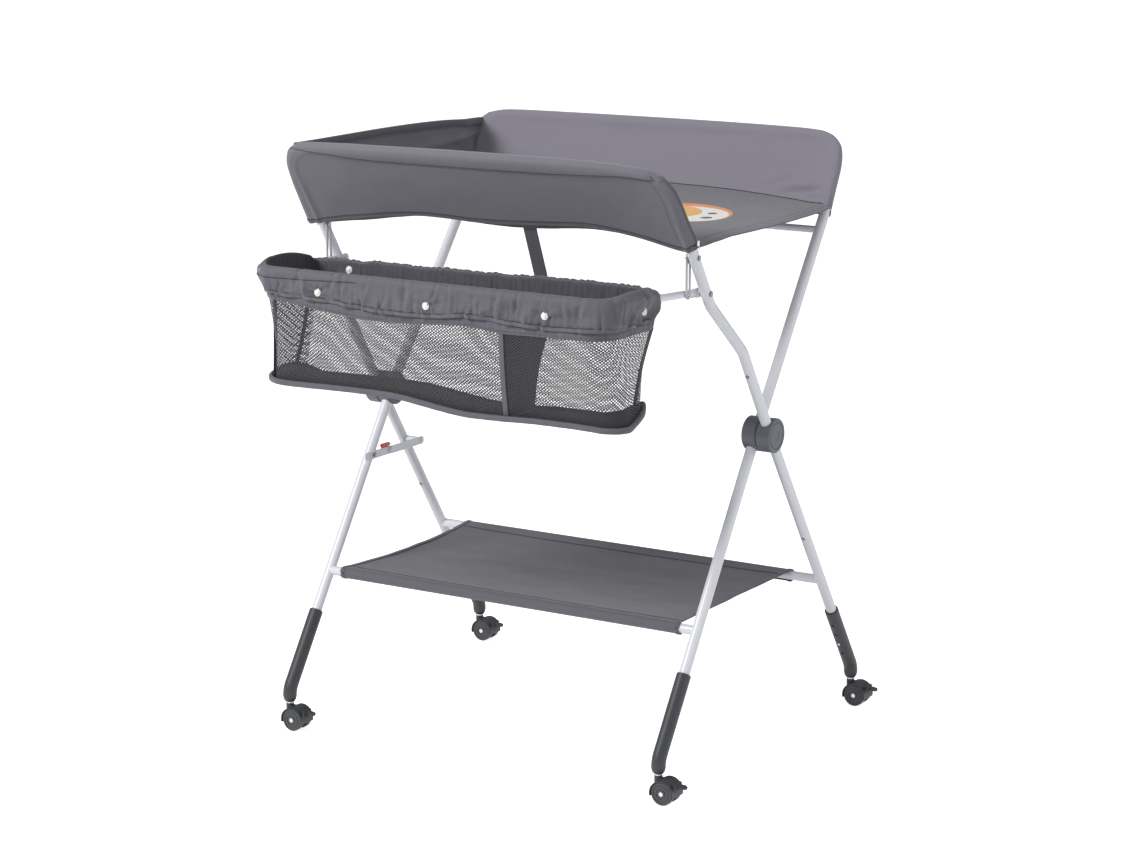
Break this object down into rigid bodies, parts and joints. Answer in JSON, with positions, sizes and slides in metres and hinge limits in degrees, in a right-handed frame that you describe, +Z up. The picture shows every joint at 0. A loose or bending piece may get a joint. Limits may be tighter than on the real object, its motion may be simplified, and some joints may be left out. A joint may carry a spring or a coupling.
{
  "type": "folding changing table",
  "caption": "Folding baby changing table on casters: crossed white tube frames, grey cloth lying surface with raised rims, hanging basket, hanging bar and cloth shelf",
  "frame": {"origin": "middle of the outline, at floor level under the wheels", "axes": "+X towards the open right end, +Y towards the back, +Z up; the basket is on the -Y side"},
  "size_m": [0.8406, 0.7576, 1.0057],
  "materials": {
    "white_tube": "white powder coat",
    "grey_plastic": "moulded, fine grain",
    "plated_steel": "zinc plated",
    "grey_cloth": "woven polyester",
    "dark_net": "open net",
    "webbing": "woven webbing",
    "snap": "moulded",
    "red_plastic": "moulded"
  },
  "bodies": {
    "outer_frame": {"outer_centre_tubes": "white_tube", "front_upper_tube_left": "white_tube", "front_upper_tube_right": "white_tube", "rear_lower_tubes": "white_tube", "outer_hubs": "grey_plastic", "front_rim_tube": "white_tube", "rear_shelf_tube": "white_tube", "outer_fasteners": "plated_steel", "rear_height_buttons": "plated_steel", "hub_bolts": "plated_steel", "changing_sling": "grey_cloth", "front_panel": "grey_cloth", "end_panel": "grey_cloth", "support_strap": "webbing", "shelf_sling": "grey_cloth"},
    "inner_frame": {"inner_centre_tubes": "white_tube", "rear_upper_tube_left": "white_tube", "rear_upper_tube_right": "white_tube", "front_lower_tubes": "white_tube", "inner_hubs": "grey_plastic", "rear_rim_tube": "white_tube", "hanging_bar": "white_tube", "front_shelf_tube": "white_tube", "inner_fasteners": "plated_steel", "front_height_buttons": "plated_steel", "rear_panel": "grey_cloth"},
    "basket": {"basket_frame": "white_tube", "basket_band": "grey_cloth", "basket_net": "dark_net", "basket_base": "grey_cloth", "basket_divider": "dark_net", "basket_snaps": "snap"},
    "basket_links": {"basket_links": "plated_steel"},
    "lock_front": {"lock_link_front": "white_tube"},
    "lock_rear": {"lock_link_rear": "white_tube"},
    "lock_release": {"lock_release": "red_plastic"},
    "foot_front_left": {"foot_front_left": "grey_plastic"},
    "caster_front_left": {"housing_front_left": "grey_plastic", "stem_axle_front_left": "plated_steel"},
    "wheels_front_left": {"wheels_front_left": "grey_plastic"},
    "brake_front_left": {"brake_front_left": "grey_plastic"},
    "foot_front_right": {"foot_front_right": "grey_plastic"},
    "caster_front_right": {"housing_front_right": "grey_plastic", "stem_axle_front_right": "plated_steel"},
    "wheels_front_right": {"wheels_front_right": "grey_plastic"},
    "brake_front_right": {"brake_front_right": "grey_plastic"},
    "foot_rear_left": {"foot_rear_left": "grey_plastic"},
    "caster_rear_left": {"housing_rear_left": "grey_plastic", "stem_axle_rear_left": "plated_steel"},
    "wheels_rear_left": {"wheels_rear_left": "grey_plastic"},
    "brake_rear_left": {"brake_rear_left": "grey_plastic"},
    "foot_rear_right": {"foot_rear_right": "grey_plastic"},
    "caster_rear_right": {"housing_rear_right": "grey_plastic", "stem_axle_rear_right": "plated_steel"},
    "wheels_rear_right": {"wheels_rear_right": "grey_plastic"},
    "brake_rear_right": {"brake_rear_right": "grey_plastic"}
  },
  "joints": [
    {"name": "frame_fold", "type": "hinge", "parent": "outer_frame", "child": "inner_frame", "pos_m": [-0.015, 0.049, 0.537], "axis": [1, 0, 0], "range_deg": [0, 45], "deforming": ["changing_sling", "end_panel", "shelf_sling"]},
    {"name": "basket_swing", "type": "hinge", "parent": "outer_frame", "child": "basket", "pos_m": [-0.015, -0.11032, 0.79], "axis": [-1, 0, 0], "range_deg": [0, 25]},
    {"name": "link_swing", "type": "hinge", "parent": "outer_frame", "child": "basket_links", "pos_m": [-0.015, -0.14937, 0.852], "axis": [1, 0, 0], "range_deg": [0, 6]},
    {"name": "lock_front_turn", "type": "hinge", "parent": "inner_frame", "child": "lock_front", "pos_m": [-0.367, -0.02143, 0.431], "axis": [1, 0, 0], "range_deg": [0, 125]},
    {"name": "lock_rear_turn", "type": "hinge", "parent": "outer_frame", "child": "lock_rear", "pos_m": [-0.365, 0.11943, 0.431], "axis": [-1, 0, 0], "range_deg": [0, 30]},
    {"name": "release_press", "type": "hinge", "parent": "lock_front", "child": "lock_release", "pos_m": [-0.365, 0.01387, 0.44], "axis": [-1, 0, 0], "range_deg": [0, 20], "stiffness_Nm_per_rad": 0.05},
    {"name": "height_front_left", "type": "slide", "parent": "inner_frame", "child": "foot_front_left", "axis": [0, -0.5534, -0.8329], "range_m": [-0.0238, 0.0476], "deforming": ["front_height_buttons"]},
    {"name": "swivel_front_left", "type": "hinge", "parent": "foot_front_left", "child": "caster_front_left", "pos_m": [-0.377, -0.2626, 0.043], "axis": [0, 0, 1], "continuous": true},
    {"name": "roll_front_left", "type": "hinge", "parent": "caster_front_left", "child": "wheels_front_left", "pos_m": [-0.363, -0.2626, 0.019], "axis": [0, 1, 0], "continuous": true},
    {"name": "brake_front_left", "type": "hinge", "parent": "caster_front_left", "child": "brake_front_left", "pos_m": [-0.343, -0.2626, 0.034], "axis": [0, 1, 0], "range_deg": [-4, 14]},
    {"name": "height_front_right", "type": "slide", "parent": "inner_frame", "child": "foot_front_right", "axis": [0, -0.5534, -0.8329], "range_m": [-0.0238, 0.0476], "deforming": ["front_height_buttons"]},
    {"name": "swivel_front_right", "type": "hinge", "parent": "foot_front_right", "child": "caster_front_right", "pos_m": [0.347, -0.2626, 0.043], "axis": [0, 0, 1], "continuous": true},
    {"name": "roll_front_right", "type": "hinge", "parent": "caster_front_right", "child": "wheels_front_right", "pos_m": [0.361, -0.2626, 0.019], "axis": [0, 1, 0], "continuous": true},
    {"name": "brake_front_right", "type": "hinge", "parent": "caster_front_right", "child": "brake_front_right", "pos_m": [0.381, -0.2626, 0.034], "axis": [0, 1, 0], "range_deg": [-4, 14]},
    {"name": "height_rear_left", "type": "slide", "parent": "outer_frame", "child": "foot_rear_left", "axis": [0, 0.5534, -0.8329], "range_m": [-0.0238, 0.0476], "deforming": ["rear_height_buttons"]},
    {"name": "swivel_rear_left", "type": "hinge", "parent": "foot_rear_left", "child": "caster_rear_left", "pos_m": [-0.403, 0.3606, 0.043], "axis": [0, 0, 1], "continuous": true},
    {"name": "roll_rear_left", "type": "hinge", "parent": "caster_rear_left", "child": "wheels_rear_left", "pos_m": [-0.389, 0.3606, 0.019], "axis": [0, 1, 0], "continuous": true},
    {"name": "brake_rear_left", "type": "hinge", "parent": "caster_rear_left", "child": "brake_rear_left", "pos_m": [-0.369, 0.3606, 0.034], "axis": [0, 1, 0], "range_deg": [-4, 14]},
    {"name": "height_rear_right", "type": "slide", "parent": "outer_frame", "child": "foot_rear_right", "axis": [0, 0.5534, -0.8329], "range_m": [-0.0238, 0.0476], "deforming": ["rear_height_buttons"]},
    {"name": "swivel_rear_right", "type": "hinge", "parent": "foot_rear_right", "child": "caster_rear_right", "pos_m": [0.373, 0.3606, 0.043], "axis": [0, 0, 1], "continuous": true},
    {"name": "roll_rear_right", "type": "hinge", "parent": "caster_rear_right", "child": "wheels_rear_right", "pos_m": [0.387, 0.3606, 0.019], "axis": [0, 1, 0], "continuous": true},
    {"name": "brake_rear_right", "type": "hinge", "parent": "caster_rear_right", "child": "brake_rear_right", "pos_m": [0.407, 0.3606, 0.034], "axis": [0, 1, 0], "range_deg": [-4, 14]}
  ],
  "couplings": [
    {"joint": "link_swing", "follows": "basket_swing", "ratio": 0.2},
    {"joint": "lock_front_turn", "follows": "frame_fold", "ratio": 2.7},
    {"joint": "lock_rear_turn", "follows": "frame_fold", "ratio": 0.6}
  ]
}
